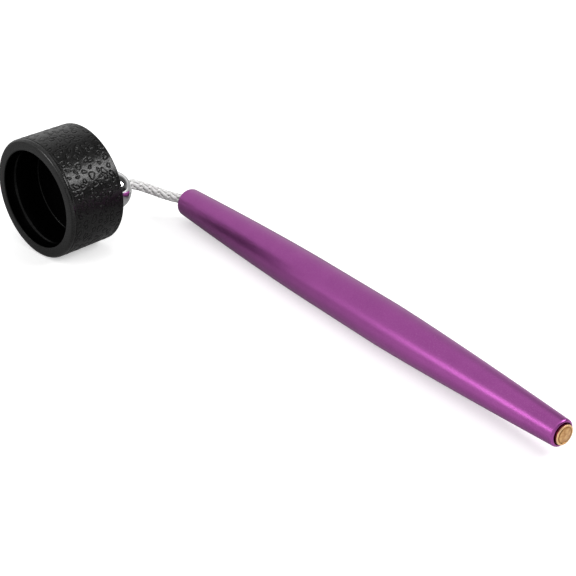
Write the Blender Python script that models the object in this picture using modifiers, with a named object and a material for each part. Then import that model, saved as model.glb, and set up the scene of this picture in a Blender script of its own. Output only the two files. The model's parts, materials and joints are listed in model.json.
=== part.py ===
"""Pocket chalk holder for billiards: a turned handle, a short braided cord, a steel ball and a
round cup that the ball holds by a magnet. It lies on a table, on the handle's belly and the
cup's curved side.

Frame: metres, +Z up, the table at z = 0. The handle lies along +X with its plugged end at +X,
and the origin is under the middle of the whole outline.
"""

import math

import bmesh
import bpy
from mathutils import Matrix, Vector

# Clearances
GAP = 0.0003                      # between two pieces that touch
TURNED_MERGE = 0.00001            # joins the poles of a turned shape
SHARP_EDGE = math.radians(35)     # edges that turn more than this are shaded sharp

# Handle: a turned aluminium bar with a bore for the cord and its bead
HANDLE_LENGTH = 0.1557
HANDLE_RADIUS = 0.00605           # along the straight middle
HANDLE_CORD_END_RADIUS = 0.00442
HANDLE_PLUG_END_RADIUS = 0.0035
HANDLE_MIDDLE = (0.40, 0.60)      # where the straight middle starts and ends, of the length
CORD_END_TAPER_POWER = 1.55       # how quickly the cord end's curve falls away
PLUG_END_TAPER_POWER = 1.35       # nearly a straight cone
CORD_END_ROUND = 0.0005
PLUG_END_ROUND = 0.0006
HANDLE_SIDES = 32

CORD_HOLE_RADIUS = 0.0018
CORD_HOLE_DEPTH = 0.008
CORD_HOLE_ROUND = 0.0006
BORE_RADIUS = 0.0027
PLUG_SEAT_DEPTH = 0.012
PLUG_SEAT_RADIUS = 0.00301

# Brass plug pressed into the far end
PLUG_RADIUS = 0.00287
PLUG_STAND_OUT = 0.0007
PLUG_LENGTH = 0.012
PLUG_HEAD = (0.00262, 0.0013)     # radius and length of the head, with a dark gap round it
PLUG_GROOVE = (0.00195, 0.00218, 0.00012)    # inner radius, outer radius, depth

# Cord, with a melted bead at each end that can't pass back through the hole
CORD_RADIUS = 0.0015
CORD_STEP = 0.0012                # between points of the tube
BEAD_RADIUS = 0.0023
BEAD_HALF_LENGTH = 0.0019

# Steel ball: threaded on the cord, whose bead sits in a counterbore on the magnet's side
BALL_RADIUS = 0.006
BALL_BEAD_BORE_RADIUS = 0.0027
BALL_BEAD_BORE_FLOOR = 0.0008     # below the ball's centre
BALL_SIDES = 32

# Cup
CUP_RADIUS = 0.018
CUP_LENGTH = 0.0185
CUP_MOUTH_ROUND = 0.001
CUP_BACK_ROUND = 0.0005
CUP_MOUTH_BORE_RADIUS = 0.0147
CUP_SEAT_BORE_RADIUS = 0.0143
CUP_STEP_DEPTH = 0.0034           # from the mouth to the small shoulder inside
CUP_SEAT_DEPTH = 0.0118           # from the mouth to the seat of the chalk
CUP_SEAT_ROUND = 0.0006
CUP_SIDES = 64

# Disc magnet in the cup's back
MAGNET_RADIUS = 0.007
MAGNET_THICKNESS = 0.003
MAGNET_EDGE = 0.0002
MAGNET_SIDES = 32

# Places. The handle and the cup rest on a flat side of their facets.
HANDLE_START = Vector((-0.0650, 0.0228, HANDLE_RADIUS * math.cos(math.pi / HANDLE_SIDES)))
CUP_TURN = math.radians(9.64)     # of the cup's axis from +Y, towards -X
CUP_BACK = Vector((-0.0735, -0.0079, CUP_RADIUS * math.cos(math.pi / CUP_SIDES)))
BALL_ASIDE = 0.0050               # of the ball from the cup's axis, along the table
BALL_DROP = 0.00325               # of the ball below the cup's axis

# The free cord's route, from the handle's end face to the ball
CORD_ROUTE = [
    (-0.0650, 0.0228, 0.00602),
    (-0.0670, 0.0224, 0.0061),
    (-0.0690, 0.0212, 0.0064),
    (-0.0707, 0.0195, 0.0069),
    (-0.0717, 0.0174, 0.0079),
    (-0.0720, 0.0152, 0.0092),
    (-0.0720, 0.0131, 0.0105),
    (-0.0717, 0.0110, 0.0118),
    (-0.0713, 0.0088, 0.0131),
    (-0.0709, 0.0066, 0.0142),
    (-0.07045, 0.0041, 0.01473),
]
BEND_POINT = 5                    # the route's point on the axis about which the cord bends

PARTS = "pocket_chalk_holder"
MATERIALS = {                     # base colour, roughness, metallic
    "purple_anodised": ((0.30, 0.08, 0.29), 0.38, 0.9),
    "brass": ((0.72, 0.45, 0.20), 0.35, 1.0),
    "white_braid": ((0.82, 0.81, 0.79), 0.8, 0.0),
    "chrome": ((0.85, 0.86, 0.87), 0.08, 1.0),
    "black_grain": ((0.02, 0.02, 0.02), 0.35, 0.0),
    "nickel": ((0.62, 0.62, 0.60), 0.25, 1.0),
}


# Scene and placing

def clear_scene():
    for obj in list(bpy.data.objects):
        bpy.data.objects.remove(obj, do_unlink=True)


def new_collection():
    collection = bpy.data.collections.new(PARTS)
    bpy.context.scene.collection.children.link(collection)
    return collection


def material(name):
    found = bpy.data.materials.get(name)
    if found:
        return found
    colour, roughness, metallic = MATERIALS[name]
    made = bpy.data.materials.new(name)
    made.use_nodes = True
    shader = made.node_tree.nodes["Principled BSDF"]
    shader.inputs["Base Color"].default_value = (*colour, 1.0)
    shader.inputs["Roughness"].default_value = roughness
    shader.inputs["Metallic"].default_value = metallic
    made.diffuse_color = (*colour, 1.0)
    return made


def axis_empty(name, place, along, collection, parent=None):
    """An empty on an axis, with its own Z along that axis."""
    empty = bpy.data.objects.new(name, None)
    empty.empty_display_size = 0.005
    turn = Vector(along).to_track_quat("Z", "Y").to_matrix().to_4x4()
    empty.matrix_world = Matrix.Translation(place) @ turn
    collection.objects.link(empty)
    if parent:
        set_parent(empty, parent)
    return empty


def set_parent(child, parent):
    """Parent without moving the child."""
    bpy.context.view_layer.update()
    child.parent = parent
    child.matrix_parent_inverse = parent.matrix_world.inverted()


def apply_and_shade(obj):
    """Apply the modifiers of a mesh object, and shade it smooth except at its sharp edges."""
    depsgraph = bpy.context.evaluated_depsgraph_get()
    mesh = bpy.data.meshes.new_from_object(obj.evaluated_get(depsgraph))
    outline = obj.data
    obj.modifiers.clear()
    obj.data = mesh
    bpy.data.meshes.remove(outline)
    mesh.shade_smooth()
    mesh.set_sharp_from_angle(angle=SHARP_EDGE)


def finish_piece(obj, material_name, collection, parent):
    """Material, collection, parent and shading for a piece."""
    obj.data.materials.append(material(material_name))
    collection.objects.link(obj)
    set_parent(obj, parent)
    if obj.type == "MESH":
        apply_and_shade(obj)


# Shapes

def arc(centre, radius, start_deg, end_deg, steps):
    """Points (radius, height) along an arc of a turned profile."""
    points = []
    for i in range(steps + 1):
        angle = math.radians(start_deg + (end_deg - start_deg) * i / steps)
        points.append((centre[0] + radius * math.cos(angle), centre[1] + radius * math.sin(angle)))
    return points


def turned(name, profile, sides, closed, place, along):
    """A turned piece: the profile (radius, height) runs down its outer side."""
    shape = bmesh.new()
    verts = [shape.verts.new((radius, 0.0, height)) for radius, height in profile]
    for first, second in zip(verts, verts[1:]):
        shape.edges.new((first, second))
    if closed:
        shape.edges.new((verts[-1], verts[0]))
    # half a step of turn puts a flat side at the bottom
    bmesh.ops.rotate(shape, cent=(0, 0, 0), matrix=Matrix.Rotation(math.pi / sides, 3, "Z"),
                     verts=shape.verts)
    mesh = bpy.data.meshes.new(name)
    shape.to_mesh(mesh)
    shape.free()
    obj = bpy.data.objects.new(name, mesh)
    screw = obj.modifiers.new("turn", "SCREW")
    screw.axis = "Z"
    screw.angle = math.radians(360)
    screw.steps = sides
    screw.render_steps = sides
    screw.use_merge_vertices = True
    screw.merge_threshold = TURNED_MERGE
    turn = Vector(along).to_track_quat("Z", "Y").to_matrix().to_4x4()
    obj.matrix_world = Matrix.Translation(place) @ turn
    return obj


def smooth_route(points):
    """A Catmull-Rom curve through the points, read every CORD_STEP."""
    ends = [points[0] * 2 - points[1]] + points + [points[-1] * 2 - points[-2]]
    curve = [points[0]]
    for before, start, end, after in zip(ends, ends[1:], ends[2:], ends[3:]):
        steps = max(1, round((end - start).length / CORD_STEP))
        for i in range(1, steps + 1):
            t = i / steps
            curve.append(
                0.5 * (2 * start + (end - before) * t
                       + (2 * before - 5 * start + 4 * end - after) * t ** 2
                       + (3 * start - before - 3 * end + after) * t ** 3))
    return curve


def tube(name, points, radii):
    """A round tube along a poly line, with a radius factor at each point."""
    curve = bpy.data.curves.new(name, "CURVE")
    curve.dimensions = "3D"
    curve.bevel_depth = CORD_RADIUS
    curve.bevel_resolution = 2
    curve.use_fill_caps = True
    spline = curve.splines.new("POLY")
    spline.points.add(len(points) - 1)
    for point, place, radius in zip(spline.points, points, radii):
        point.co = (*place, 1.0)
        point.radius = radius
    return bpy.data.objects.new(name, curve)


# Pieces

def handle_radius(along):
    """Outer radius of the handle at a distance from its cord end."""
    start, end = (part * HANDLE_LENGTH for part in HANDLE_MIDDLE)
    if along < start:
        drop = HANDLE_RADIUS - HANDLE_CORD_END_RADIUS
        return HANDLE_RADIUS - drop * ((start - along) / start) ** CORD_END_TAPER_POWER
    if along > end:
        drop = HANDLE_RADIUS - HANDLE_PLUG_END_RADIUS
        return HANDLE_RADIUS - drop * ((along - end) / (HANDLE_LENGTH - end)) ** PLUG_END_TAPER_POWER
    return HANDLE_RADIUS


def make_handle(collection, root):
    """The profile's height runs from the cord end (0) to the plug end."""
    steps = 11
    start, end = (part * HANDLE_LENGTH for part in HANDLE_MIDDLE)
    plug_side = [end + (HANDLE_LENGTH - PLUG_END_ROUND - end) * i / steps for i in range(steps + 1)]
    cord_side = [CORD_END_ROUND + (start - CORD_END_ROUND) * i / steps for i in range(steps + 1)]
    shoulder = (handle_radius(HANDLE_LENGTH - PLUG_END_ROUND) - PLUG_END_ROUND,
                HANDLE_LENGTH - PLUG_END_ROUND)
    nose = (handle_radius(CORD_END_ROUND) - CORD_END_ROUND, CORD_END_ROUND)
    profile = arc(shoulder, PLUG_END_ROUND, 90, 0, 4)
    profile += [(handle_radius(z), z) for z in reversed(plug_side[:-1])]
    profile += [(handle_radius(z), z) for z in reversed(cord_side[1:])]
    profile += arc(nose, CORD_END_ROUND, 0, -90, 6)
    profile += arc((CORD_HOLE_RADIUS + CORD_HOLE_ROUND, CORD_HOLE_ROUND), CORD_HOLE_ROUND, -90, -180, 3)
    profile += [
        (CORD_HOLE_RADIUS, CORD_HOLE_DEPTH),
        (BORE_RADIUS, CORD_HOLE_DEPTH),
        (BORE_RADIUS, HANDLE_LENGTH - PLUG_SEAT_DEPTH),
        (PLUG_SEAT_RADIUS, HANDLE_LENGTH - PLUG_SEAT_DEPTH),
        (PLUG_SEAT_RADIUS, HANDLE_LENGTH),
    ]
    obj = turned("handle_body", profile, HANDLE_SIDES, True, HANDLE_START, (1, 0, 0))
    finish_piece(obj, "purple_anodised", collection, root)


def make_plug(collection, root):
    """The height is counted from the plug's inner end."""
    inner, outer, depth = PLUG_GROOVE
    head_radius, head_length = PLUG_HEAD
    edge = 0.0002
    top = PLUG_LENGTH
    shoulder = top - head_length
    profile = [
        (0.0, top),
        (inner, top),
        (inner, top - depth),
        (outer, top - depth),
        (outer, top),
        (head_radius - edge, top),
        (head_radius, top - edge),
        (head_radius, shoulder),
        (PLUG_RADIUS, shoulder),
        (PLUG_RADIUS, edge),
        (PLUG_RADIUS - edge, 0.0),
        (0.0, 0.0),
    ]
    inner_end = HANDLE_START + Vector((HANDLE_LENGTH + PLUG_STAND_OUT - PLUG_LENGTH, 0, 0))
    obj = turned("end_plug", profile, HANDLE_SIDES, False, inner_end, (1, 0, 0))
    finish_piece(obj, "brass", collection, root)


def make_bead(name, place, along, collection, parent):
    """The melted end of the cord: a short fat ellipsoid."""
    steps = 8
    profile = []
    for i in range(steps + 1):
        angle = math.pi * i / steps
        profile.append((BEAD_RADIUS * math.sin(angle), BEAD_HALF_LENGTH * math.cos(angle)))
    profile[0] = (0.0, BEAD_HALF_LENGTH)
    profile[-1] = (0.0, -BEAD_HALF_LENGTH)
    obj = turned(name, profile, 16, False, place, along)
    finish_piece(obj, "white_braid", collection, parent)


def make_cord(collection, swivel, bend, ball_place, cup_axis):
    """Two tubes that meet at the bend: a round end on its axis, and a flat end clear of it."""
    route = [Vector(point) for point in CORD_ROUTE]
    bead_face = HANDLE_START + Vector((CORD_HOLE_DEPTH, 0, 0))
    first = smooth_route([bead_face] + route[:BEND_POINT + 2])
    second = smooth_route(route[BEND_POINT - 1:] + [ball_place - cup_axis * BALL_BEAD_BORE_FLOOR])
    hinge = route[BEND_POINT]

    root_points = first[:min(range(len(first)), key=lambda i: (first[i] - hinge).length) + 1]
    forward = (root_points[-1] - root_points[-2]).normalized()
    root_radii = [1.0] * len(root_points)
    for angle_deg in (30, 50, 65, 78):
        angle = math.radians(angle_deg)
        root_points.append(hinge + forward * CORD_RADIUS * math.sin(angle))
        root_radii.append(math.cos(angle))
    root_half = tube("cord_root", root_points, root_radii)

    clear = CORD_RADIUS + GAP
    at_hinge = min(range(len(second)), key=lambda i: (second[i] - hinge).length)
    beyond = [point for point in second[at_hinge:] if (point - hinge).length > clear]
    leave = (beyond[0] - hinge).normalized()
    tip_points = [hinge + leave * clear] + beyond[1:]
    tip_half = tube("cord_tip", tip_points, [1.0] * len(tip_points))

    finish_piece(root_half, "white_braid", collection, swivel)
    finish_piece(tip_half, "white_braid", collection, bend)


def make_ball(place, along, collection, parent):
    """A sphere with the cord's hole from the top and the bead's counterbore from below."""
    steps = 18
    top = math.degrees(math.acos(CORD_HOLE_RADIUS / BALL_RADIUS))
    bottom = -math.degrees(math.acos(BALL_BEAD_BORE_RADIUS / BALL_RADIUS))
    profile = arc((0, 0), BALL_RADIUS, top, bottom, steps)
    profile += [
        (BALL_BEAD_BORE_RADIUS, -BALL_BEAD_BORE_FLOOR),
        (CORD_HOLE_RADIUS, -BALL_BEAD_BORE_FLOOR),
    ]
    obj = turned("ball", profile, BALL_SIDES, True, place, along)
    finish_piece(obj, "chrome", collection, parent)


def make_cup(axis, collection, parent):
    """The height is counted from the mouth. The magnet's pocket opens in the back."""
    pocket_radius = MAGNET_RADIUS + GAP
    pocket_floor = CUP_LENGTH - MAGNET_THICKNESS - GAP
    mouth_edge = 0.0003
    step = CUP_MOUTH_BORE_RADIUS - CUP_SEAT_BORE_RADIUS
    profile = [(0.0, pocket_floor), (pocket_radius, pocket_floor), (pocket_radius, CUP_LENGTH)]
    profile += arc((CUP_RADIUS - CUP_BACK_ROUND, CUP_LENGTH - CUP_BACK_ROUND), CUP_BACK_ROUND, 90, 0, 4)
    profile += arc((CUP_RADIUS - CUP_MOUTH_ROUND, CUP_MOUTH_ROUND), CUP_MOUTH_ROUND, 0, -90, 7)
    profile += arc((CUP_MOUTH_BORE_RADIUS + mouth_edge, mouth_edge), mouth_edge, -90, -180, 3)
    profile += [(CUP_MOUTH_BORE_RADIUS, CUP_STEP_DEPTH), (CUP_SEAT_BORE_RADIUS, CUP_STEP_DEPTH + step)]
    corner = (CUP_SEAT_BORE_RADIUS - CUP_SEAT_ROUND, CUP_SEAT_DEPTH - CUP_SEAT_ROUND)
    profile += arc(corner, CUP_SEAT_ROUND, 0, 90, 3)
    profile += [(0.0, CUP_SEAT_DEPTH)]
    obj = turned("cup_shell", profile, CUP_SIDES, False, CUP_BACK - axis * CUP_LENGTH, axis)
    finish_piece(obj, "black_grain", collection, parent)


def make_magnet(axis, collection, parent):
    """A disc flush with the cup's back."""
    rim = MAGNET_RADIUS - MAGNET_EDGE
    profile = [
        (0.0, MAGNET_THICKNESS),
        (rim, MAGNET_THICKNESS),
        (MAGNET_RADIUS, MAGNET_THICKNESS - MAGNET_EDGE),
        (MAGNET_RADIUS, MAGNET_EDGE),
        (rim, 0.0),
        (0.0, 0.0),
    ]
    obj = turned("magnet", profile, MAGNET_SIDES, False, CUP_BACK - axis * MAGNET_THICKNESS, axis)
    finish_piece(obj, "nickel", collection, parent)


def main():
    clear_scene()
    collection = new_collection()

    # from the cup's mouth to its back, and the ball's place against the magnet
    cup_axis = Vector((-math.sin(CUP_TURN), math.cos(CUP_TURN), 0.0))
    aside = Vector((cup_axis.y, -cup_axis.x, 0.0))
    standoff = math.sqrt(BALL_RADIUS ** 2 - BALL_BEAD_BORE_RADIUS ** 2) + GAP
    ball_place = CUP_BACK + cup_axis * standoff + aside * BALL_ASIDE + Vector((0, 0, -BALL_DROP))

    root = axis_empty("handle_root", HANDLE_START, (1, 0, 0), collection)
    swivel = axis_empty("cord_swivel_axis", HANDLE_START, (1, 0, 0), collection, root)
    bend = axis_empty("cord_bend_axis", Vector(CORD_ROUTE[BEND_POINT]), (0, 0, -1), collection, swivel)
    ball_swivel = axis_empty("ball_swivel_axis", ball_place, cup_axis, collection, bend)
    cup_slide = axis_empty("cup_slide_axis", CUP_BACK, -cup_axis, collection, ball_swivel)

    make_handle(collection, root)
    make_plug(collection, root)
    handle_bead = HANDLE_START + Vector((CORD_HOLE_DEPTH + GAP + BEAD_HALF_LENGTH, 0, 0))
    make_bead("handle_bead", handle_bead, (1, 0, 0), collection, swivel)
    make_cord(collection, swivel, bend, ball_place, cup_axis)
    ball_bead = ball_place - cup_axis * (BALL_BEAD_BORE_FLOOR + GAP + BEAD_HALF_LENGTH)
    make_bead("ball_bead", ball_bead, cup_axis, collection, bend)
    make_ball(ball_place, cup_axis, collection, ball_swivel)
    make_cup(cup_axis, collection, cup_slide)
    make_magnet(cup_axis, collection, cup_slide)
    bpy.context.view_layer.update()


main()
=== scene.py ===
"""A pocket chalk holder: a turned handle, a braided cord, a steel ball and a magnetic chalk cup."""

import json
import math

import bpy
import numpy as np
from mathutils import Matrix, Vector


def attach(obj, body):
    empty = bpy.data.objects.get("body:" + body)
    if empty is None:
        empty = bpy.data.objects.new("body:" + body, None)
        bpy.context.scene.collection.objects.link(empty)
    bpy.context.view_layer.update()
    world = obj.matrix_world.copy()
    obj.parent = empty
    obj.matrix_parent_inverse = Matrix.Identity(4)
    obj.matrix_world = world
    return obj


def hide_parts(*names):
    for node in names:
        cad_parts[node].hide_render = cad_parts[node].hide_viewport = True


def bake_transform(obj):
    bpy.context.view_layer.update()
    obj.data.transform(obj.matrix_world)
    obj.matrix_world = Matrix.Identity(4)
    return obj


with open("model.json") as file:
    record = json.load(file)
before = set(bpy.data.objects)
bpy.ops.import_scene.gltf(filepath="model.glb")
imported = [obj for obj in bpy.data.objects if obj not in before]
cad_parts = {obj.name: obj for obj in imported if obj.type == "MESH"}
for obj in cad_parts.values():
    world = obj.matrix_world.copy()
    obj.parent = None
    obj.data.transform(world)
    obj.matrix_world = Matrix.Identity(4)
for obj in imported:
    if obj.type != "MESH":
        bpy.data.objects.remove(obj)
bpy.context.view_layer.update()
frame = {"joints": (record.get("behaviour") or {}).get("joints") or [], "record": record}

JOINTS = {joint["name"]: joint for joint in frame["joints"]}
MOUNTS = {mount["name"]: mount for mount in frame["record"]["mounts"]}

# All lengths are in metres.

# Places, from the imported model
HANDLE_START = Vector(JOINTS["cord_swivel"]["pos_m"])     # where the cord leaves the handle
BALL_PLACE = Vector(JOINTS["ball_swivel"]["pos_m"])
CUP_AXIS = Vector(JOINTS["ball_swivel"]["axis"])          # from the cup's mouth to its back
SEAT_PLACE = Vector(MOUNTS["chalk_seat"]["pos_m"])

# Camera
CAMERA_PLACE = (0.24504, -0.16752, 0.17086)
CAMERA_TARGET = (-0.01047, 0.02076, 0.0)
CAMERA_LENS_MM = 79.92
CAMERA_SENSOR_MM = 36.0

# Cord: the free part's route from the handle's end face to the ball
CORD_ROUTE = [
    (-0.0650, 0.0228, 0.00602),
    (-0.0670, 0.0224, 0.0061),
    (-0.0690, 0.0212, 0.0064),
    (-0.0707, 0.0195, 0.0069),
    (-0.0717, 0.0174, 0.0079),
    (-0.0720, 0.0152, 0.0092),
    (-0.0720, 0.0131, 0.0105),
    (-0.0717, 0.0110, 0.0118),
    (-0.0713, 0.0088, 0.0131),
    (-0.0709, 0.0066, 0.0142),
    (-0.07045, 0.0041, 0.01473),
]
CORD_STEP = 0.0001                # between rings of a strand
BEAD_RADIUS = 0.0023
BEAD_HALF_LENGTH = 0.0019
BEAD_SIDES = 64
BEAD_STEPS = 24
HANDLE_BEAD_DEPTH = 0.0102        # of the bead's centre inside the handle
BALL_BEAD_DEPTH = 0.0030          # from the ball's centre towards the cup, to the bead's centre
STRANDS_EACH_WAY = 6
BRAID_PITCH = 0.024               # along the cord for a full turn of a strand
STRAND_FAMILIES = [               # way round, radius, wave in and out, half width, half thickness
    (1, 0.00116, 0.00012, 0.00051, 0.00040),
    (-1, 0.00104, 0.00028, 0.00034, 0.00026),
]
STRAND_SIDES = 16                 # the core has half as many
CORE_RADIUS = 0.00078

# Handle
HANDLE_LENGTH = 0.1557
HANDLE_RADIUS = 0.00605
HANDLE_CORD_END_RADIUS = 0.00442
HANDLE_PLUG_END_RADIUS = 0.0035
HANDLE_MIDDLE = (0.40, 0.60)      # where the straight part starts and ends, as shares of the length
CORD_END_TAPER_POWER = 1.55
PLUG_END_TAPER_POWER = 1.35
CORD_END_ROUND = 0.0005
PLUG_END_ROUND = 0.0006
CORD_HOLE_RADIUS = 0.0018
CORD_HOLE_DEPTH = 0.008
CORD_HOLE_ROUND = 0.0006
BORE_RADIUS = 0.0027
PLUG_SEAT_DEPTH = 0.012
PLUG_SEAT_RADIUS = 0.00301
HANDLE_SIDES = 128
HANDLE_STEPS = 28                 # along each taper
HANDLE_MIDDLE_STEPS = 11          # along the straight part

# Brass plug
PLUG_RADIUS = 0.00287
PLUG_STAND_OUT = 0.0007
PLUG_LENGTH = 0.012
PLUG_EDGE = 0.00012
PLUG_HEAD = (0.00262, 0.0013)     # radius and length of the head, with a dark gap round it
PLUG_GROOVE = (0.00195, 0.00218, 0.00012)    # inner radius, outer radius, depth
PLUG_CROWN = 0.00014              # rise of the face inside the groove
PLUG_SIDES = 96

# Steel ball
BALL_RADIUS = 0.006
BALL_BEAD_BORE_RADIUS = 0.0027
BALL_BEAD_BORE_FLOOR = 0.0008     # from the ball's centre towards the cup
BALL_HOLE_EDGE = 0.00018
BALL_SIDES = 128

# Cup
CUP_RADIUS = 0.018
CUP_LENGTH = 0.0185
CUP_MOUTH_ROUND = 0.001
CUP_BACK_ROUND = 0.0005
CUP_MOUTH_BORE_RADIUS = 0.0147
CUP_MOUTH_EDGE = 0.0003
CUP_SEAT_BORE_RADIUS = 0.0143
CUP_STEP_DEPTH = 0.0034
CUP_SEAT_DEPTH = 0.0118
CUP_SEAT_ROUND = 0.0004
CUP_BEAD_GROOVE = (0.00125, 0.00030, 0.00020)    # place behind the mouth, width, depth
CUP_WALL_ROW = 0.00016            # between rings of the grained wall
CUP_SIDES = 720

# Grain of the cup's wall: rounded islands, each in a thin groove
GRAIN_SEED = 7
GRAIN_SPACING = 0.0025            # from island to island
GRAIN_JITTER = 0.30               # of that distance, as a share
GRAIN_SIZES = (0.00050, 0.00105)  # smallest and largest half length of an island
GRAIN_ASPECT = (0.55, 1.0)
GRAIN_WOBBLE = 0.13               # of an island's outline, as a share
GRAIN_GROOVE_DEPTH = 0.00010
GRAIN_GROOVE_HALF_WIDTH = 0.00012
GRAIN_ISLAND_HEIGHT = 0.00004
GRAIN_FRONT_MARGIN = 0.0015       # smooth bead and its groove, at the mouth
GRAIN_BACK_MARGIN = 0.0006
GRAIN_FADE = 0.0002

# Studio
FLOOR_HALF_SIDE = 3.0
FLOOR_GLOW = (0.05, 0.48)         # as other surfaces see it, and as the camera sees it
# Painted shade on the floor, which only other surfaces see: darker towards the cup.
FLOOR_PAINTED_SHADE = (0.45, 1.0, -0.05, 0.04)    # two shares of its paleness, and the X of each
WORLD_LEVEL = 0.92
DARK_SECTORS = [                  # azimuth, elevation, inner and outer edge in degrees, and level
    (83, 36, 20, 42, 0.08),
    (18, 28, 18, 44, 0.10),
    (45, -5, 18, 38, 0.03),
]
NEAR_CUP = (-0.06, -0.01, 0.02)
NEAR_BRASS = (0.08, 0.02, 0.006)
SOFTBOXES = [                     # name, azimuth, elevation, distance, target, width, height, radiance
    ("softbox_right", 50, 34, 0.75, NEAR_CUP, 0.38, 0.23, 12.0),
    ("strip_left", -118, 15, 0.60, NEAR_BRASS, 0.14, 0.18, 4.6),
]
OVERHEAD = (0.2, 0.1, 0.9)
OVERHEAD_LIGHT = (0.9, 0.7, 0.6)  # width, height, radiance

# Magnet
MAGNET_RADIUS = 0.007
MAGNET_THICKNESS = 0.003
MAGNET_EDGE = 0.0002
MAGNET_GAP = 0.0003
MAGNET_SIDES = 96

# Shared
SHARP_ANGLE_DEG = 40              # edges sharper than this stay crisp
ROUTE_SUBSTEPS = 32               # between two points of a route, before it is read evenly
MIX_FIRST = 6                     # the Mix node's sockets for colours
MIX_SECOND = 7
MIX_RESULT = 2
BRASS_RINGS = 42000.0             # turning marks, in radians per metre of radius
FILAMENTS_ACROSS = 26.0           # scale of the yarn's noise across a strand, and along it per metre
FILAMENTS_ALONG = 1800.0


# Meshes

def new_object(name, verts, faces, place=None, along=None):
    """A smooth-shaded mesh. With a place and a direction, its own Z lies along that direction."""
    mesh = bpy.data.meshes.new(name)
    mesh.from_pydata([tuple(v) for v in verts], [], faces)
    mesh.validate()
    mesh.shade_smooth()
    obj = bpy.data.objects.new(name, mesh)
    bpy.context.scene.collection.objects.link(obj)
    if along is not None:
        turn = Vector(along).to_track_quat("Z", "Y").to_matrix().to_4x4()
        obj.matrix_world = Matrix.Translation(place) @ turn
    return obj


def arc(centre, radius, start_deg, end_deg, steps):
    """Points (radius, height) along an arc of a turned profile."""
    angles = np.radians(np.linspace(start_deg, end_deg, steps + 1))
    return [(centre[0] + radius * math.cos(a), centre[1] + radius * math.sin(a)) for a in angles]


def line(start, end, steps):
    """Points (radius, height) between two points, without the ends."""
    shares = np.linspace(0, 1, steps + 1)[1:-1]
    return [tuple(np.array(start) * (1 - t) + np.array(end) * t) for t in shares]


def turned(name, profile, sides, closed, place, along, relief=None):
    """A turned piece. The profile (radius, height) runs down its outer side.
    relief(angle, radius, height) gives how far a point stands out from the axis beyond its radius."""
    angles = np.arange(sides) * 2 * math.pi / sides
    verts = []
    rings = []
    for radius, height in profile:
        if radius == 0:
            rings.append([len(verts)])
            verts.append((0, 0, height))
            continue
        reach = np.full(sides, radius)
        if relief:
            reach = reach + relief(angles, radius, height)
        rings.append(list(range(len(verts), len(verts) + sides)))
        verts.extend(zip(reach * np.cos(angles), reach * np.sin(angles), np.full(sides, height)))
    faces = []
    pairs = list(zip(rings, rings[1:]))
    if closed:
        pairs.append((rings[-1], rings[0]))
    for upper, lower in pairs:
        for i in range(sides):
            j = (i + 1) % sides
            if len(upper) == 1:
                faces.append((upper[0], lower[i], lower[j]))
            elif len(lower) == 1:
                faces.append((upper[i], lower[0], upper[j]))
            else:
                faces.append((upper[i], lower[i], lower[j], upper[j]))
    obj = new_object(name, verts, faces, place, along)
    obj.data.set_sharp_from_angle(angle=math.radians(SHARP_ANGLE_DEG))
    return obj


def smooth_route(points, step):
    """A Catmull-Rom curve through the points, read at even steps."""
    points = [Vector(p) for p in points]
    ends = [points[0] * 2 - points[1]] + points + [points[-1] * 2 - points[-2]]
    curve = [points[0]]
    for before, start, end, after in zip(ends, ends[1:], ends[2:], ends[3:]):
        for i in range(1, ROUTE_SUBSTEPS + 1):
            t = i / ROUTE_SUBSTEPS
            curve.append(
                0.5 * (2 * start + (end - before) * t
                       + (2 * before - 5 * start + 4 * end - after) * t ** 2
                       + (3 * start - before - 3 * end + after) * t ** 3))
    curve = np.array(curve)
    lengths = np.linalg.norm(np.diff(curve, axis=0), axis=1)
    places = np.concatenate([[0], np.cumsum(lengths)])
    even = np.linspace(0, places[-1], int(round(places[-1] / step)) + 1)
    return np.column_stack([np.interp(even, places, curve[:, axis]) for axis in range(3)])


def unit(vectors):
    return vectors / np.linalg.norm(vectors, axis=-1, keepdims=True)


def carried_frames(path):
    """Two directions across a path at each point, carried along it without twist."""
    along = unit(np.gradient(path, axis=0))
    first = np.cross(along[0], (0, 0, 1))
    sides = [unit(np.cross(first, along[0]))]
    for tangent in along[1:]:
        last = sides[-1]
        sides.append(unit(last - tangent * (last @ tangent)))
    sides = np.array(sides)
    return sides, np.cross(along, sides)


def add_tube(verts, faces, rings):
    """Add a tube with flat ends. rings is an array of rings of points."""
    count, sides, _ = rings.shape
    base = len(verts)
    verts.extend(map(tuple, rings.reshape(-1, 3)))
    for i in range(count - 1):
        for j in range(sides):
            k = (j + 1) % sides
            faces.append((base + i * sides + j, base + i * sides + k,
                          base + (i + 1) * sides + k, base + (i + 1) * sides + j))
    faces.append(tuple(base + j for j in reversed(range(sides))))
    faces.append(tuple(base + (count - 1) * sides + j for j in range(sides)))


def float_attribute(obj, name, values):
    attribute = obj.data.attributes.new(name, "FLOAT", "POINT")
    attribute.data.foreach_set("value", np.asarray(values, np.float32))


# Materials

def node(tree, kind, settings=None, inputs=None):
    """A shader node with its settings, and its inputs as values or as other nodes' outputs."""
    made = tree.nodes.new(kind)
    for key, value in (settings or {}).items():
        setattr(made, key, value)
    for key, value in (inputs or {}).items():
        if isinstance(value, bpy.types.NodeSocket):
            tree.links.new(value, made.inputs[key])
        else:
            made.inputs[key].default_value = value
    return made


def new_material(name, **values):
    """A material with its tree and its Principled shader, whose sockets take the values."""
    made = bpy.data.materials.new(name)
    made.use_nodes = True
    tree = made.node_tree
    shader = tree.nodes["Principled BSDF"]
    for key, value in values.items():
        shader.inputs[key.replace("_", " ").title().replace("Ior", "IOR")].default_value = value
    return made, tree, shader


def own_coordinates(tree):
    return node(tree, "ShaderNodeTexCoord").outputs["Object"]


def noise(tree, coordinates, scale, detail=2.0, roughness=0.5):
    made = node(tree, "ShaderNodeTexNoise", None, {
        "Vector": coordinates, "Scale": scale, "Detail": detail, "Roughness": roughness})
    return made.outputs["Fac"]


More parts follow.
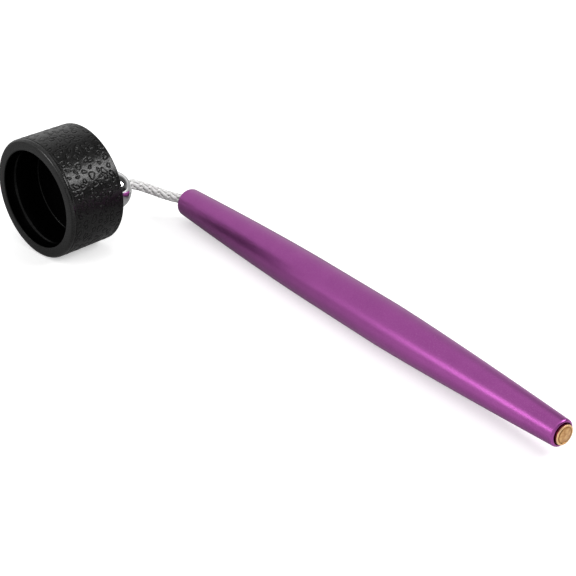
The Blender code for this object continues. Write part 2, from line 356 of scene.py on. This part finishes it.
def remap(tree, value, low, high, from_low=0.0, from_high=1.0):
    made = node(tree, "ShaderNodeMapRange", None, {
        "Value": value, "From Min": from_low, "From Max": from_high, "To Min": low, "To Max": high})
    return made.outputs["Result"]


def mix_colour(tree, share, first, second):
    made = node(tree, "ShaderNodeMix", {"data_type": "RGBA"}, {
        "Factor": share, MIX_FIRST: first, MIX_SECOND: second})
    return made.outputs[MIX_RESULT]


def bump(tree, height, strength, distance, normal=None):
    inputs = {"Height": height, "Strength": strength, "Distance": distance}
    if normal is not None:
        inputs["Normal"] = normal
    return node(tree, "ShaderNodeBump", None, inputs).outputs["Normal"]


def math_node(tree, operation, first, second=0.0):
    return node(tree, "ShaderNodeMath", {"operation": operation}, {0: first, 1: second}).outputs[0]


def coordinate(tree, coordinates, axis):
    return node(tree, "ShaderNodeSeparateXYZ", None, {"Vector": coordinates}).outputs[axis]


def stored(tree, name):
    """A value stored on the mesh's points."""
    return node(tree, "ShaderNodeAttribute", {"attribute_name": name}).outputs["Fac"]


def camera_ray(tree):
    """1 where the camera looks straight at it, and 0 in what other surfaces see."""
    return node(tree, "ShaderNodeLightPath").outputs["Is Camera Ray"]


def radius_from_axis(tree, coordinates):
    """Distance from the piece's own Z axis."""
    flat = node(tree, "ShaderNodeVectorMath", {"operation": "MULTIPLY"}, {0: coordinates, 1: (1, 1, 0)})
    length = node(tree, "ShaderNodeVectorMath", {"operation": "LENGTH"}, {0: flat.outputs[0]})
    return length.outputs["Value"]


def purple_anodised():
    """Bead-blasted aluminium, dyed: a fine even sparkle and a faint slow mottling."""
    made, tree, shader = new_material("purple_anodised", metallic=1.0)
    place = own_coordinates(tree)
    fine = noise(tree, place, 7000, 2.0, 0.6)
    medium = noise(tree, place, 2600, 2.0)
    slow = noise(tree, place, 160, 2.0)
    colour = mix_colour(tree, slow, (0.285, 0.060, 0.258, 1), (0.350, 0.080, 0.315, 1))
    sparkle = remap(tree, fine, 0.0, 0.55, 0.52, 0.80)
    colour = mix_colour(tree, sparkle, colour, (0.62, 0.24, 0.58, 1))
    tree.links.new(colour, shader.inputs["Base Color"])
    tree.links.new(remap(tree, medium, 0.27, 0.41), shader.inputs["Roughness"])
    grain = bump(tree, fine, 0.35, 0.00002)
    grain = bump(tree, medium, 0.15, 0.00003, grain)
    tree.links.new(grain, shader.inputs["Normal"])
    return made


def brass():
    """Turned and worn brass: fine rings, blotches of tarnish, a golden groove. Its side is painted dark
    maroon: painted shade in the gap round the head, with a painted reflection of the purple handle.
    """
    made, tree, shader = new_material("brass", metallic=1.0)
    place = own_coordinates(tree)
    radius = radius_from_axis(tree, place)
    blotches = noise(tree, place, 1000, 3.0, 0.65)
    fine = noise(tree, place, 9000, 2.0)
    colour = mix_colour(tree, remap(tree, blotches, 0, 1, 0.38, 0.62),
                        (0.44, 0.22, 0.085, 1), (0.66, 0.41, 0.185, 1))
    inner, outer, _ = PLUG_GROOVE
    rim = remap(tree, radius, 0, 1, outer - 0.00006, outer + 0.00006)
    colour = mix_colour(tree, rim, colour, (0.72, 0.47, 0.24, 1))
    inside = remap(tree, radius, 0, 1, inner - 0.00022, inner)
    groove = math_node(tree, "MULTIPLY", math_node(tree, "SUBTRACT", inside, rim), 0.75)
    colour = mix_colour(tree, groove, colour, (0.30, 0.14, 0.025, 1))
    # Painted shade with a painted reflection of the purple handle: below the head's edge the plug is
    # painted dark maroon.
    height = coordinate(tree, place, "Z")
    edge = PLUG_LENGTH - PLUG_EDGE
    side = remap(tree, height, 0, 1, edge - 0.00002, edge - 0.00012)
    colour = mix_colour(tree, side, colour, (0.16, 0.018, 0.035, 1))
    tree.links.new(colour, shader.inputs["Base Color"])
    tree.links.new(remap(tree, blotches, 0.26, 0.46), shader.inputs["Roughness"])
    rings = math_node(tree, "SINE", math_node(tree, "MULTIPLY", radius, BRASS_RINGS))
    turning = bump(tree, rings, 0.25, 0.000008)
    turning = bump(tree, blotches, 0.45, 0.00006, turning)
    tree.links.new(bump(tree, fine, 0.2, 0.00001, turning), shader.inputs["Normal"])
    return made


def chrome():
    """Polished steel with faint smears."""
    made, tree, shader = new_material("chrome", metallic=1.0)
    place = own_coordinates(tree)
    smears = noise(tree, place, 450, 3.0)
    colour = mix_colour(tree, smears, (0.68, 0.68, 0.69, 1), (0.78, 0.78, 0.78, 1))
    tree.links.new(colour, shader.inputs["Base Color"])
    tree.links.new(remap(tree, smears, 0.03, 0.10, 0.35, 0.75), shader.inputs["Roughness"])
    tree.links.new(bump(tree, noise(tree, place, 3000, 2.0), 0.05, 0.00001), shader.inputs["Normal"])
    return made


def nickel():
    """Nickel plate on the magnet: soft sheen, with fine scratches."""
    made, tree, shader = new_material("nickel", metallic=1.0)
    place = own_coordinates(tree)
    stretched = node(tree, "ShaderNodeMapping", None, {
        "Vector": place, "Rotation": (0, 0, 0.6), "Scale": (9000, 300, 300)}).outputs[0]
    crossed = node(tree, "ShaderNodeMapping", None, {
        "Vector": place, "Rotation": (0, 0, -0.9), "Scale": (7000, 240, 240)}).outputs[0]
    scratches = math_node(tree, "MAXIMUM", noise(tree, stretched, 1.0), noise(tree, crossed, 1.0))
    cloud = noise(tree, place, 500, 3.0)
    colour = mix_colour(tree, cloud, (0.56, 0.55, 0.52, 1), (0.70, 0.69, 0.66, 1))
    tree.links.new(colour, shader.inputs["Base Color"])
    tree.links.new(remap(tree, cloud, 0.16, 0.30), shader.inputs["Roughness"])
    tree.links.new(bump(tree, scratches, 0.25, 0.00001), shader.inputs["Normal"])
    return made


def black_grain():
    """Black vinyl: shiny islands in matt grooves, a glossy bead at the mouth, a dull inside whose colour
    is painted darker as painted shade.
    """
    made, tree, shader = new_material("black_grain", ior=1.45)
    place = own_coordinates(tree)
    radius = radius_from_axis(tree, place)
    height = coordinate(tree, place, "Z")
    fine = noise(tree, place, 3200, 2.0, 0.6)
    pebbles = noise(tree, place, 1300, 1.0)
    slow = noise(tree, place, 260, 3.0)
    wall = remap(tree, radius, 0, 1, CUP_MOUTH_BORE_RADIUS + 0.0001, CUP_MOUTH_BORE_RADIUS + 0.0004)
    behind_bead = remap(tree, height, 0, 1, GRAIN_FRONT_MARGIN - 0.0002, GRAIN_FRONT_MARGIN)
    grained = math_node(tree, "MULTIPLY", behind_bead, wall)
    lowness = remap(tree, radius, 0, 1, CUP_RADIUS - 0.00001, CUP_RADIUS - 0.00006)
    groove = math_node(tree, "MULTIPLY", lowness, grained)
    colour = mix_colour(tree, slow, (0.0010, 0.0010, 0.0009, 1), (0.0020, 0.0019, 0.0018, 1))
    # Painted shade: the inside of the cup, within the mouth's bore, is painted darker than the outside.
    colour = mix_colour(tree, wall, (0.0005, 0.0005, 0.0005, 1), colour)
    tree.links.new(colour, shader.inputs["Base Color"])
    shine = remap(tree, fine, 0.15, 0.52, 0.3, 0.7)
    shine = math_node(tree, "MULTIPLY", shine, remap(tree, groove, 1.0, 0.45))
    shine = math_node(tree, "MULTIPLY", shine, remap(tree, wall, 0.3, 1.0))
    shine = math_node(tree, "MULTIPLY", shine, remap(tree, grained, 1.5, 1.0))
    tree.links.new(shine, shader.inputs["Specular IOR Level"])
    roughness = math_node(tree, "MULTIPLY", remap(tree, slow, 0.25, 0.33), remap(tree, grained, 0.7, 1.0))
    tree.links.new(roughness, shader.inputs["Roughness"])
    surface = bump(tree, fine, remap(tree, grained, 0.05, 0.35), 0.00004)
    surface = bump(tree, pebbles, remap(tree, grained, 0.0, 0.35), 0.00010, surface)
    tree.links.new(bump(tree, slow, 0.15, 0.0001, surface), shader.inputs["Normal"])
    return made


def white_braid():
    """Nylon yarn: filaments along each strand, off-white, with painted shade where strands meet."""
    made, tree, shader = new_material("white_braid", roughness=0.45, ior=1.5)
    shader.inputs["Sheen Weight"].default_value = 0.25
    shader.inputs["Sheen Roughness"].default_value = 0.4
    across = stored(tree, "strand_across")
    along = stored(tree, "strand_along")
    height = stored(tree, "strand_height")
    place = node(tree, "ShaderNodeCombineXYZ", None, {
        "X": math_node(tree, "MULTIPLY", across, FILAMENTS_ACROSS),
        "Y": math_node(tree, "MULTIPLY", along, FILAMENTS_ALONG)}).outputs[0]
    filaments = noise(tree, place, 1.0, 2.0)
    # Painted shade: the yarn is painted darker the lower it lies, where strands dip under each other.
    low = remap(tree, height, 0.0, 1.0, -0.5, 1.0)
    colour = mix_colour(tree, low, (0.46, 0.455, 0.44, 1), (0.93, 0.93, 0.92, 1))
    colour = mix_colour(tree, remap(tree, filaments, 0.0, 0.5, 0.45, 0.75), colour, (0.86, 0.86, 0.84, 1))
    tree.links.new(colour, shader.inputs["Base Color"])
    tree.links.new(bump(tree, filaments, 0.35, 0.00005), shader.inputs["Normal"])
    return made


def melted_nylon():
    """The melted end of the cord: glassier and yellower than the yarn."""
    made, tree, shader = new_material("melted_nylon", ior=1.5)
    shader.inputs["Subsurface Weight"].default_value = 0.3
    shader.inputs["Subsurface Scale"].default_value = 0.001
    place = own_coordinates(tree)
    lumps = noise(tree, place, 700, 3.0)
    colour = mix_colour(tree, lumps, (0.60, 0.55, 0.44, 1), (0.78, 0.75, 0.67, 1))
    tree.links.new(colour, shader.inputs["Base Color"])
    tree.links.new(remap(tree, lumps, 0.2, 0.4), shader.inputs["Roughness"])
    tree.links.new(bump(tree, lumps, 0.4, 0.0002), shader.inputs["Normal"])
    return made


# Pieces

def aim_at(obj, place, target):
    """Put a camera or a light in its place, facing its target."""
    obj.location = place
    obj.rotation_mode = "QUATERNION"
    obj.rotation_quaternion = (Vector(target) - Vector(place)).to_track_quat("-Z", "Y")


def make_camera():
    data = bpy.data.cameras.new("camera")
    data.lens = CAMERA_LENS_MM
    data.sensor_width = CAMERA_SENSOR_MM
    data.clip_start = 0.01
    data.clip_end = 20.0
    obj = bpy.data.objects.new("camera", data)
    bpy.context.scene.collection.objects.link(obj)
    aim_at(obj, CAMERA_PLACE, CAMERA_TARGET)
    bpy.context.scene.camera = obj


def cord_path():
    """The cord's middle line, from the bead inside the handle to the bead inside the ball."""
    inside = [HANDLE_START + Vector((HANDLE_BEAD_DEPTH * share, 0, 0)) for share in (1.0, 0.75, 0.5, 0.25)]
    end = BALL_PLACE - CUP_AXIS * BALL_BEAD_DEPTH
    return smooth_route(inside + CORD_ROUTE + [BALL_PLACE, end], CORD_STEP)


def make_cord():
    """Broad strands one way round and narrow ones the other, over and under each other, on a core."""
    path = cord_path()
    side, other = carried_frames(path)
    place = np.arange(len(path)) * CORD_STEP
    turns = np.linspace(0, 2 * math.pi, STRAND_SIDES, endpoint=False)
    verts = []
    faces = []
    across = []
    lengthwise = []
    height = []
    for way, radius, swing, half_width, half_thickness in STRAND_FAMILIES:
        lean = math.cos(math.atan(2 * math.pi * radius / BRAID_PITCH))
        spread = half_width / (radius * lean)
        for i in range(STRANDS_EACH_WAY):
            angle = way * 2 * math.pi * place / BRAID_PITCH + 2 * math.pi * i / STRANDS_EACH_WAY
            wave = way * np.cos(2 * math.pi * STRANDS_EACH_WAY * place / BRAID_PITCH)
            around = angle[:, None] + spread * np.cos(turns)[None, :]
            reach = (radius + swing * wave)[:, None] + half_thickness * np.sin(turns)[None, :]
            rings = (path[:, None] + side[:, None] * (reach * np.cos(around))[:, :, None]
                     + other[:, None] * (reach * np.sin(around))[:, :, None])
            add_tube(verts, faces, rings)
            # The offsets give every strand filaments of its own.
            across.extend(np.tile(np.cos(turns) + 3 * i + 20 * way, len(path)))
            lengthwise.extend(np.repeat(place + 0.1 * i + way, STRAND_SIDES))
            height.extend((wave[:, None] * 0.5 + np.sin(turns)[None, :] * 0.5).ravel())
    turns = turns[::2]
    ring = side[:, None] * np.cos(turns)[None, :, None] + other[:, None] * np.sin(turns)[None, :, None]
    add_tube(verts, faces, path[:, None] + ring * CORE_RADIUS)
    rest = len(verts) - len(across)
    across.extend([0.0] * rest)
    lengthwise.extend([0.0] * rest)
    # The core lies lowest, so it takes the yarn's full painted shade.
    height.extend([-1.0] * rest)

    obj = new_object("cord", verts, faces)
    obj.data.materials.append(white_braid())
    float_attribute(obj, "strand_across", across)
    float_attribute(obj, "strand_along", lengthwise)
    float_attribute(obj, "strand_height", height)
    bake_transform(obj)
    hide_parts("cord_root", "cord_tip")


def make_bead(name, node_name, body, place, along, material):
    """A melted end: a fat lump, uneven all round."""
    angles = np.linspace(0, math.pi, BEAD_STEPS + 1)
    profile = [(BEAD_RADIUS * math.sin(a), BEAD_HALF_LENGTH * math.cos(a)) for a in angles]
    profile[0] = (0, BEAD_HALF_LENGTH)
    profile[-1] = (0, -BEAD_HALF_LENGTH)

    def lumps(angle, radius, height):
        slow = np.sin(2 * angle + 900 * height) + 0.7 * np.sin(3 * angle - 1500 * height + 1.0)
        return radius * (0.02 * slow - 0.035)

    obj = turned(name, profile, BEAD_SIDES, False, place, along, lumps)
    obj.data.materials.append(material)
    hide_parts(node_name)
    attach(obj, body)


def handle_radius(along):
    """Outer radius of the handle at a distance from its cord end."""
    start, end = (part * HANDLE_LENGTH for part in HANDLE_MIDDLE)
    if along < start:
        drop = HANDLE_RADIUS - HANDLE_CORD_END_RADIUS
        return HANDLE_RADIUS - drop * ((start - along) / start) ** CORD_END_TAPER_POWER
    if along > end:
        drop = HANDLE_RADIUS - HANDLE_PLUG_END_RADIUS
        return HANDLE_RADIUS - drop * ((along - end) / (HANDLE_LENGTH - end)) ** PLUG_END_TAPER_POWER
    return HANDLE_RADIUS


def make_handle():
    """The profile's height runs from the cord end (0) to the plug end."""
    start, end = (part * HANDLE_LENGTH for part in HANDLE_MIDDLE)
    plug_side = np.linspace(HANDLE_LENGTH - PLUG_END_ROUND, end, HANDLE_STEPS + 1)[1:]
    cord_side = np.linspace(start, CORD_END_ROUND, HANDLE_STEPS + 1)[:-1]
    middle = np.linspace(end, start, HANDLE_MIDDLE_STEPS + 1)[1:-1]
    shoulder = (handle_radius(HANDLE_LENGTH - PLUG_END_ROUND) - PLUG_END_ROUND,
                HANDLE_LENGTH - PLUG_END_ROUND)
    nose = (handle_radius(CORD_END_ROUND) - CORD_END_ROUND, CORD_END_ROUND)
    mouth = (CORD_HOLE_RADIUS + CORD_HOLE_ROUND, CORD_HOLE_ROUND)
    profile = arc(shoulder, PLUG_END_ROUND, 90, 0, 10)
    for height in (*plug_side, *middle, *cord_side):
        profile.append((handle_radius(height), height))
    profile += arc(nose, CORD_END_ROUND, 0, -90, 16)
    profile += arc(mouth, CORD_HOLE_ROUND, -90, -180, 8)
    profile += [
        (CORD_HOLE_RADIUS, CORD_HOLE_DEPTH),
        (BORE_RADIUS, CORD_HOLE_DEPTH),
        (BORE_RADIUS, HANDLE_LENGTH - PLUG_SEAT_DEPTH),
        (PLUG_SEAT_RADIUS, HANDLE_LENGTH - PLUG_SEAT_DEPTH),
        (PLUG_SEAT_RADIUS, HANDLE_LENGTH),
    ]
    obj = turned("handle", profile, HANDLE_SIDES, True, HANDLE_START, (1, 0, 0))
    obj.data.materials.append(purple_anodised())
    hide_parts("handle_body")
    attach(obj, "handle")


def make_plug():
    """The height is counted from the plug's inner end."""
    inner, outer, depth = PLUG_GROOVE
    head_radius, head_length = PLUG_HEAD
    top = PLUG_LENGTH
    shoulder = top - head_length
    soft = 0.00005
    radii = np.linspace(0, inner - soft, 9)
    profile = [(r, top + PLUG_CROWN * (1 - (r / inner) ** 2)) for r in radii]
    profile += arc((inner - soft, top - soft), soft, 90, 0, 3)
    profile += [(inner, top - depth), (outer, top - depth)]
    profile += arc((outer + soft, top - soft), soft, 180, 90, 3)
    profile += arc((head_radius - PLUG_EDGE, top - PLUG_EDGE), PLUG_EDGE, 90, 0, 5)
    profile += [(head_radius, shoulder), (PLUG_RADIUS, shoulder)]
    profile += arc((PLUG_RADIUS - PLUG_EDGE, PLUG_EDGE), PLUG_EDGE, 0, -90, 5)
    profile += [(0, 0)]
    inner_end = HANDLE_START + Vector((HANDLE_LENGTH + PLUG_STAND_OUT - PLUG_LENGTH, 0, 0))
    obj = turned("brass_plug", profile, PLUG_SIDES, False, inner_end, (1, 0, 0))
    obj.data.materials.append(brass())
    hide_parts("end_plug")
    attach(obj, "handle")


def make_ball():
    """A ball with the cord's hole through it, and a wider bore for the bead on the cup's side."""
    edge = BALL_HOLE_EDGE
    top = math.degrees(math.acos((CORD_HOLE_RADIUS + edge) / BALL_RADIUS))
    bottom = -math.degrees(math.acos((BALL_BEAD_BORE_RADIUS + edge) / BALL_RADIUS))
    top_height = math.sqrt(BALL_RADIUS ** 2 - (CORD_HOLE_RADIUS + edge) ** 2)
    bottom_height = -math.sqrt(BALL_RADIUS ** 2 - (BALL_BEAD_BORE_RADIUS + edge) ** 2)
    profile = arc((0, 0), BALL_RADIUS, top, bottom, 64)
    profile += arc((BALL_BEAD_BORE_RADIUS + edge, bottom_height + edge), edge, -100, -180, 4)
    profile += [
        (BALL_BEAD_BORE_RADIUS, -BALL_BEAD_BORE_FLOOR),
        (CORD_HOLE_RADIUS, -BALL_BEAD_BORE_FLOOR),
    ]
    profile += arc((CORD_HOLE_RADIUS + edge, top_height - edge), edge, 180, 95, 4)
    obj = turned("steel_ball", profile, BALL_SIDES, True, BALL_PLACE, CUP_AXIS)
    obj.data.materials.append(chrome())
    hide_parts("ball")
    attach(obj, "ball")


def grain_height(wall_start, wall_end):
    """The grain's relief on the wall: islands of uneven sizes in staggered rows, out of line."""
    random = np.random.default_rng(GRAIN_SEED)
    girth = 2 * math.pi * CUP_RADIUS
    columns = round(girth / GRAIN_SPACING)
    rows = round((wall_end - wall_start) / GRAIN_SPACING)
    column, row = (part.ravel() for part in np.meshgrid(np.arange(columns), np.arange(rows)))
    jitter = random.uniform(-GRAIN_JITTER, GRAIN_JITTER, (2, len(row)))
    around = (column + 0.5 * (row % 2) + jitter[0]) * girth / columns
    upward = wall_start + (row + 0.5 + jitter[1]) * (wall_end - wall_start) / rows
    long_half = random.uniform(*GRAIN_SIZES, len(row))
    short_half = long_half * random.uniform(*GRAIN_ASPECT, len(row))
    lean = random.uniform(0, math.pi, len(row))
    phases = random.uniform(0, 2 * math.pi, (2, len(row)))

    def relief(angle, radius, height):
        if radius < CUP_RADIUS - GRAIN_GROOVE_DEPTH or not wall_start < height < wall_end:
            return np.zeros(len(angle))
        along = angle[:, None] * CUP_RADIUS - around
        along = (along + girth / 2) % girth - girth / 2
        lift = height - upward
        long_share = (along * np.cos(lean) + lift * np.sin(lean)) / long_half
        short_share = (lift * np.cos(lean) - along * np.sin(lean)) / short_half
        bearing = np.arctan2(short_share, long_share)
        outline = 1 + GRAIN_WOBBLE * (np.cos(2 * bearing + phases[0]) + np.cos(3 * bearing + phases[1]))
        distance = np.min((np.hypot(long_share, short_share) - outline) * short_half, axis=1)
        groove = GRAIN_GROOVE_DEPTH * np.exp(-(distance / GRAIN_GROOVE_HALF_WIDTH) ** 2)
        island = GRAIN_ISLAND_HEIGHT * np.clip(-distance / GRAIN_GROOVE_HALF_WIDTH, 0, 1)
        fade = min(1.0, (height - wall_start) / GRAIN_FADE, (wall_end - height) / GRAIN_FADE)
        return (island - groove) * fade

    return relief


def make_cup():
    """The height is counted from the mouth. The magnet's pocket opens in the back."""
    pocket_radius = MAGNET_RADIUS + MAGNET_GAP
    pocket_floor = CUP_LENGTH - MAGNET_THICKNESS - MAGNET_GAP
    soft = 0.0001
    back = (CUP_RADIUS - CUP_BACK_ROUND, CUP_LENGTH - CUP_BACK_ROUND)
    mouth = (CUP_RADIUS - CUP_MOUTH_ROUND, CUP_MOUTH_ROUND)
    wall = (CUP_LENGTH - CUP_BACK_ROUND, CUP_MOUTH_ROUND)
    rows = int((wall[0] - wall[1]) / CUP_WALL_ROW)
    profile = [(0, pocket_floor), (pocket_radius, pocket_floor)]
    profile += arc((pocket_radius + soft, CUP_LENGTH - soft), soft, 180, 90, 3)
    profile += line((pocket_radius + soft, CUP_LENGTH), (back[0], CUP_LENGTH), 8)
    profile += arc(back, CUP_BACK_ROUND, 90, 0, 8)
    groove_place, groove_width, groove_depth = CUP_BEAD_GROOVE
    for share in np.linspace(0, 1, rows):
        height = wall[0] + (wall[1] - wall[0]) * share
        inset = groove_depth * math.exp(-((height - groove_place) * 2 / groove_width) ** 2)
        profile.append((CUP_RADIUS - inset, height))
    profile += arc(mouth, CUP_MOUTH_ROUND, -6, -90, 16)
    profile += arc((CUP_MOUTH_BORE_RADIUS + CUP_MOUTH_EDGE, CUP_MOUTH_EDGE), CUP_MOUTH_EDGE, -90, -180, 6)
    step = CUP_MOUTH_BORE_RADIUS - CUP_SEAT_BORE_RADIUS
    profile += [
        (CUP_MOUTH_BORE_RADIUS, CUP_STEP_DEPTH - soft),
        (CUP_MOUTH_BORE_RADIUS - soft, CUP_STEP_DEPTH + soft / 2),
        (CUP_SEAT_BORE_RADIUS + soft, CUP_STEP_DEPTH + step - soft / 2),
        (CUP_SEAT_BORE_RADIUS, CUP_STEP_DEPTH + step + soft),
    ]
    corner = (CUP_SEAT_BORE_RADIUS - CUP_SEAT_ROUND, CUP_SEAT_DEPTH - CUP_SEAT_ROUND)
    profile += arc(corner, CUP_SEAT_ROUND, 0, 90, 8)
    profile += line((corner[0], CUP_SEAT_DEPTH), (0, CUP_SEAT_DEPTH), 10)
    profile += [(0, CUP_SEAT_DEPTH)]
    relief = grain_height(GRAIN_FRONT_MARGIN, CUP_LENGTH - GRAIN_BACK_MARGIN)
    mouth_place = SEAT_PLACE - CUP_AXIS * CUP_SEAT_DEPTH
    obj = turned("chalk_cup", profile, CUP_SIDES, False, mouth_place, CUP_AXIS, relief)
    obj.data.materials.append(black_grain())
    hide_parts("cup_shell")
    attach(obj, "cup")


def make_magnet():
    """A disc flush with the cup's back."""
    profile = [(0, MAGNET_THICKNESS), *line((0, MAGNET_THICKNESS), (MAGNET_RADIUS, MAGNET_THICKNESS), 6)]
    profile += arc((MAGNET_RADIUS - MAGNET_EDGE, MAGNET_THICKNESS - MAGNET_EDGE), MAGNET_EDGE, 90, 0, 6)
    profile += arc((MAGNET_RADIUS - MAGNET_EDGE, MAGNET_EDGE), MAGNET_EDGE, 0, -90, 6)
    profile += [(0, 0)]
    place = SEAT_PLACE + CUP_AXIS * (CUP_LENGTH - CUP_SEAT_DEPTH - MAGNET_THICKNESS)
    obj = turned("magnet_disc", profile, MAGNET_SIDES, False, place, CUP_AXIS)
    obj.data.materials.append(nickel())
    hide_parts("magnet")
    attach(obj, "cup")


# Surroundings

def make_floor():
    """Pale and plain. It looks even to the camera, but other surfaces see painted shade on it, darker
    towards the cup.
    """
    half = FLOOR_HALF_SIDE
    corners = [(-half, -half, 0), (half, -half, 0), (half, half, 0), (-half, half, 0)]
    obj = new_object("floor", corners, [(0, 1, 2, 3)])
    made, tree, shader = new_material("pale_floor", roughness=0.9)
    shader.inputs["Specular IOR Level"].default_value = 0.1
    shader.inputs["Emission Color"].default_value = (1, 1, 1, 1)
    seen = camera_ray(tree)
    tree.links.new(remap(tree, seen, *FLOOR_GLOW), shader.inputs["Emission Strength"])
    # Painted shade: other surfaces see the floor painted darker towards the cup.
    sideways = coordinate(tree, own_coordinates(tree), "X")
    lit = math_node(tree, "MAXIMUM", seen, remap(tree, sideways, *FLOOR_PAINTED_SHADE))
    colour = mix_colour(tree, lit, (0, 0, 0, 1), (0.80, 0.80, 0.80, 1))
    tree.links.new(colour, shader.inputs["Base Color"])
    obj.data.materials.append(made)


def softbox(name, place, target, width, height, radiance):
    """A rectangle of light of a given radiance, that faces its target."""
    data = bpy.data.lights.new(name, "AREA")
    data.shape = "RECTANGLE"
    data.size = width
    data.size_y = height
    data.energy = radiance * math.pi * width * height
    obj = bpy.data.objects.new(name, data)
    bpy.context.scene.collection.objects.link(obj)
    aim_at(obj, place, target)
    obj.visible_camera = False


def towards(azimuth_deg, elevation_deg, distance, start=(0, 0, 0)):
    """A point in a direction. The azimuth is counted from +X towards +Y."""
    azimuth, elevation = math.radians(azimuth_deg), math.radians(elevation_deg)
    flat = math.cos(elevation)
    away = Vector((flat * math.cos(azimuth), flat * math.sin(azimuth), math.sin(elevation)))
    return Vector(start) + away * distance


def make_lights():
    for name, azimuth, elevation, distance, target, width, height, radiance in SOFTBOXES:
        place = towards(azimuth, elevation, distance, target)
        softbox(name, place, target, width, height, radiance)
    softbox("overhead", OVERHEAD, (0, 0, 0), *OVERHEAD_LIGHT)


def make_world():
    """Even white to the camera. Other surfaces see a pale room with dark sectors."""
    world = bpy.data.worlds.new("studio")
    bpy.context.scene.world = world
    world.use_nodes = True
    tree = world.node_tree
    background = tree.nodes["Background"]
    direction = node(tree, "ShaderNodeTexCoord").outputs["Generated"]
    colour = (WORLD_LEVEL, WORLD_LEVEL, WORLD_LEVEL, 1)
    for azimuth, elevation, inner, outer, level in DARK_SECTORS:
        near = node(tree, "ShaderNodeVectorMath", {"operation": "DOT_PRODUCT"},
                    {0: direction, 1: towards(azimuth, elevation, 1.0)}).outputs["Value"]
        limits = math.cos(math.radians(outer)), math.cos(math.radians(inner))
        share = remap(tree, near, 0.0, 1.0, *limits)
        colour = mix_colour(tree, share, colour, (level, level, level, 1))
    seen = camera_ray(tree)
    colour = mix_colour(tree, seen, colour, (1, 1, 1, 1))
    tree.links.new(colour, background.inputs["Color"])


def main():
    make_camera()
    make_cord()
    bead = melted_nylon()
    make_bead("cord_bead_in_handle", "handle_bead", "cord_root",
              HANDLE_START + Vector((HANDLE_BEAD_DEPTH, 0, 0)), (1, 0, 0), bead)
    make_bead("cord_bead_in_ball", "ball_bead", "cord_tip",
              BALL_PLACE - CUP_AXIS * BALL_BEAD_DEPTH, CUP_AXIS, bead)
    make_handle()
    make_plug()
    make_ball()
    make_cup()
    make_magnet()
    make_floor()
    make_lights()
    make_world()
    bpy.context.scene.view_settings.view_transform = "Standard"


main()
